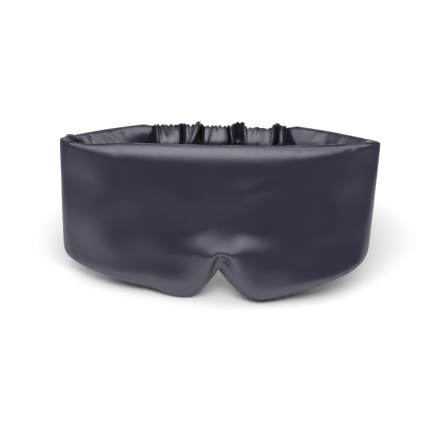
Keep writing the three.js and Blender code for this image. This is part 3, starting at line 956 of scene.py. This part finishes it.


# ---- the ruched band ----
# The sleeve's gathered top edge, listed from the left wing to the right one as seen from the front.
# Each point: place along the band, depth towards the viewer, rise of the edge, and sideways lean of the
# fold lower down, all in mm.
GATHERS = (
    (-3.5, 0, -0.6, 0), (0, -1, 0.4, 0), (1.2, -2, 0.8, 0), (2.2, 2.4, 1.4, 0), (4.6, 1.2, 0.7, 0),
    (5.8, 2.2, 1, 0), (9, 3.2, 1.1, 0), (13, 3.4, 1.1, 0), (17, 3, 1.1, 0), (19.6, 3.4, 1.4, 0),
    (21, 0, 1.2, 0), (21.6, -7, 0, 0), (22.8, -8, 0, 0), (23.6, -2, 0.5, 0), (24.4, 2.4, 1.6, 0),
    (26, 3.4, 1.8, 0), (28, 2.8, 0.2, 0), (30, 4, 1, -3), (32, 6.4, 2.2, -5), (33.6, 7.2, 3.4, -5.5),
    (35, 6.4, 3.7, -5), (36, 2, 3, -4), (35, -6, 1.5, -2), (35.4, -9, 0.5, 0), (37.2, -8, 0, 0),
    (38.2, -2, 0.2, 0), (39, 2.6, 0.1, 0), (41.5, 3.4, 0.2, -1), (44, 3, 0.2, -2.5),
    (45.4, 1.8, 0.2, -3), (46.8, 2.8, 0.2, -3), (49.5, 3.8, 0.8, -1), (52.5, 4, 0.2, 0),
    (55.5, 3.6, 0.3, 0), (57, 2, -0.2, 1), (57.6, -4, -0.5, 1.5), (58.6, -4.5, -0.6, 1.5),
    (58.4, 3, 0, 2), (59.6, 4.8, 0.4, 2), (60.8, 1, 0.6, 1), (61.4, -6, 1, 0), (64.5, -9, 1.4, 0),
    (68, -7, 2, 0), (69.6, 0, 2, 0.5), (69.4, 4.4, 1.8, 1.5), (70.8, 5, 1, 1.5), (72, 2.6, -0.8, 0.5),
    (74, 2.4, -1, -1), (78, 3.6, -0.1, 0), (82, 3.2, -0.3, 0), (86, 3.8, -0.7, 0), (89.5, 4, -0.3, 0),
    (91.6, 5, 1.5, -0.5), (93, 5, 2.5, -0.5), (94, 1, 2.3, 0), (93.2, -7, 1.5, 0), (95, -9, 1.1, 0),
    (96, -2, 1.8, 0), (96.4, 3.4, 2.3, 0.5), (98, 5.6, 2.3, 1), (100, 5, 1.3, 1), (99.4, -1, 0.7, 1),
    (98.4, -3, 0.5, 1), (100.4, -4, 0.3, 1), (101.4, 1, -0.1, 0), (102.6, -2, 0, 0),
    (103, -1, 0.2, 0), (106.5, 0, -0.6, 0),
)
GATHERS_LENGTH = 103 * MM  # of the band that those places are on
DARTS = (  # small folds near the top: start (s, h), end (s, h), half-width, height, in mm
    ((17.4, 0), (18.2, 5), 0.8, -1),
    ((8.6, 0), (10.5, 7), 0.9, 0.6),
    ((5, 0), (6, 12), 0.7, -0.6),
    ((49.3, 0), (49.5, 3.5), 0.6, 0.8),
    ((6, 9), (19, 9), 5, -1.2),  # the left and right panels lean less than the middle one
    ((76, 10), (92, 10), 5, -0.7),
    ((80.7, 0), (81, 7), 1, -0.7),
)
GATHER_STEPS = 8  # columns between two points
SLEEVE_ROWS, SLEEVE_CROWDING = 44, 0.5
SLEEVE_THICKNESS = 0.35 * MM
HEADING = 14 * MM  # height of the gathered edge above and below the elastic
# Where the gathers fade into the casing, from the upper and from the lower edge.
UPPER_FADE, LOWER_FADE = (0.75 * HEADING, 1.6 * HEADING), (0.5 * HEADING, 1.5 * HEADING)
# From the band's middle to each wall: in the wings, at the edges and over the elastic.
END_GAP, HEADING_GAP, CASING_GAP = 0.3 * MM, 0.35 * MM, 5.2 * MM
CAVITY = (1.5 * MM, 5 * MM)  # a fold this deep presses the walls together
CALM, CALM_BELOW = 0.5, 1.1  # how deep the pleats are over the elastic and at the lower edge
CALM_EVEN = 0.6  # over the elastic, the share of the cloth's spacing that is even
CALM_REACH = 9  # columns to each side over which the pleats' depth is averaged there
SLEEVE_ENDS = (-3 * MM, 1.5 * MM)  # the cloth calms down between these, where it enters a wing
SLEEVE_END_LIFT = 1 * MM  # its lower edge is drawn up by this inside the wings
RISE_LENGTH = 6 * MM  # the rise of an edge dies away over this
LOWER_RISE, LOWER_DEPTH = 0.8 * MM, 3 * MM  # the lower edge rises this much where a pleat is this deep
WRINKLE = 0.25 * MM
SCALLOP, SCALLOP_LENGTH = 0.7 * MM, 2 * MM


def curve_through(points, steps):
    """Catmull-Rom curve through the rows of points."""
    positions = np.arange(len(points), dtype=float)
    samples = np.linspace(0, len(points) - 1, (len(points) - 1) * steps + 1)
    return spline_weights(positions, samples) @ points


def band_points(s, depth, z):
    """Points at s from the left wing's end, this deep into the loop from the band's middle, at height z."""
    stretches, offsets = (WING_RIGHT, BAND, WING_LEFT), (-W, 0, BAND.length)
    return chain(BAND.length - s, PIVOT_DEPTH + depth, z, stretches, offsets)


def gathered_edge():
    """The gathered edge's curve, the length travelled on it, and its calm places and depths."""
    curve = curve_through(np.array(GATHERS) * MM, GATHER_STEPS)
    curve[:, 0] *= BAND.length / GATHERS_LENGTH
    length = np.linalg.norm(np.diff(curve[:, :2], axis=0), axis=-1)
    travelled = np.concatenate([[0], np.cumsum(length)])
    start, end = curve[0, 0], curve[-1, 0]
    even = start + (end - start) * travelled / travelled[-1]
    calm_s = mix(np.linspace(start, end, len(curve)), even, CALM_EVEN)
    kernel = np.hanning(2 * CALM_REACH + 1)
    kernel /= kernel.sum()
    calm_depth = np.convolve(np.pad(curve[:, 1], CALM_REACH, mode="edge"), kernel, "valid")
    return curve, travelled[:, None], calm_s[:, None], calm_depth[:, None]


def sleeve_wall(side):
    """One wall of the sleeve, (columns, rows, 3) in the mask frame: side 1 faces the head, -1 out."""
    curve, travelled, calm_s, calm_depth = gathered_edge()
    place, edge_depth, edge_rise, edge_lean = [curve[:, k : k + 1] for k in range(4)]
    fixed = smooth(np.minimum(calm_s, BAND.length - calm_s), *SLEEVE_ENDS)
    h = (1 - crowded(SLEEVE_ROWS, SLEEVE_CROWDING)[None, :]) * BAND_HEIGHT
    from_bottom = BAND_HEIGHT - h
    upper, lower = 1 - smooth(h, *UPPER_FADE), 1 - smooth(from_bottom, *LOWER_FADE)
    s = mix(calm_s, place + smooth(h, 0, HEADING) * edge_lean, upper)
    depth = mix(mix(CALM, CALM_BELOW, lower) * calm_depth, edge_depth, upper)
    depth = depth + strokes(s, h * np.ones_like(s), DARTS)
    gap = mix(HEADING_GAP, CASING_GAP, smooth(np.minimum(h, from_bottom), -1 * MM, HEADING))
    cavity = smooth(-edge_depth, *CAVITY) * (1 - smooth(h, HEADING, UPPER_FADE[1]))
    gap = mix(mix(END_GAP, gap, fixed), HEADING_GAP, cavity)
    seed = 31 if side > 0 else 32
    wrinkle = WRINKLE * waves(seed, 5 * MM, 16 * MM, 8, travelled * np.ones_like(h), 0.35 * h)
    depth = depth * fixed + side * gap + wrinkle * fixed
    lower_rise = LOWER_RISE * calm_depth / LOWER_DEPTH
    rise = edge_rise * np.exp(-h / RISE_LENGTH) + lower_rise * np.exp(-from_bottom / RISE_LENGTH)
    scallop = SCALLOP * waves(33, 3 * MM, 7 * MM, 5, travelled) * np.exp(-h / SCALLOP_LENGTH)
    z = -h + (rise + scallop) * fixed + SLEEVE_END_LIFT * (1 - fixed) * h / BAND_HEIGHT
    return band_points(s, depth, z)


def stretch_with_band(piece):
    """Bakes the piece's transform into its mesh."""
    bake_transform(piece)


def build_band(materials):
    """The sleeve's two walls, the elastic between them and the stitching on both sides of it."""
    for side, node in ((1, "sleeve_inner"), (-1, "sleeve_outer")):
        wall = to_row(sleeve_wall(side))
        grid = wall if side > 0 else wall[::-1]
        piece = cloth_from_grid(f"{node}_satin", grid, SLEEVE_THICKNESS, materials["sleeve"])
        stretch_with_band(piece)
        stands_for(node)
    build_webbing(materials["webbing"])
    build_sleeve_threads(materials["thread"])


WEBBING_THICKNESS = 0.9 * MM
WEBBING_END = 2 * MM  # it runs this far into each wing
RIB_HEIGHT, RIB_COUNT = 0.08 * MM, 11


def build_webbing(material):
    """The elastic: a flat ribbed strip between the sleeve's walls."""
    top, bottom = WEBBING[:, 2].max(), WEBBING[:, 2].min()
    s = np.linspace(-WEBBING_END, BAND.length + WEBBING_END, 160)[:, None]
    v = np.linspace(0, 1, 24)
    rib = RIB_HEIGHT * np.sin(2 * math.pi * v * RIB_COUNT)
    depth = 0.5 * WEBBING_THICKNESS + rib
    grid = to_row(band_points(s * np.ones_like(v), depth, mix(bottom, top, v)))
    piece = cloth_from_grid("elastic_webbing_ribbed", grid, WEBBING_THICKNESS, material)
    stretch_with_band(piece)
    stands_for("elastic_webbing")


def build_sleeve_threads(material):
    """The two runs of stitches that part the casing from the gathered edges."""
    inset = 0.9 * HEADING
    for name, h in (("top", inset), ("bottom", BAND_HEIGHT - inset)):
        path = band_points(np.linspace(0, BAND.length, 200), 0, -h)
        thread = stitching(f"sleeve_{name}_stitching", path, material)
        stretch_with_band(thread)
        stands_for(f"sleeve_{name}_seam")


def build_materials():
    return {
        "shell": satin("shell_satin", (0.011, 0.009, 0.026)),
        "lining": satin("lining_satin", (0.012, 0.010, 0.025)),
        "sleeve": satin("sleeve_satin", (0.013, 0.011, 0.025)),
        "blackout": matt_cloth("blackout_cloth", (0.006, 0.006, 0.007), 0.9, CLOTH_PITCH),
        "wadding": fleece("fleece_wadding", (0.75, 0.74, 0.72)),
        "webbing": matt_cloth("elastic_webbing", (0.012, 0.012, 0.014), 0.75, RIB_PITCH),
        "thread": twisted_thread("sewing_thread", (0.05, 0.046, 0.056)),
    }


def finish_cad_nodes(materials):
    """The bartacks keep their CAD shape and get the sewing thread's material."""
    for node in ("left_wing_band_bartack", "right_wing_band_bartack"):
        data = frame["nodes"][node].data
        data.materials.clear()
        data.materials.append(materials["thread"])


add_camera()
add_studio()
materials = build_materials()
build_pad(materials)
build_band(materials)
finish_cad_nodes(materials)
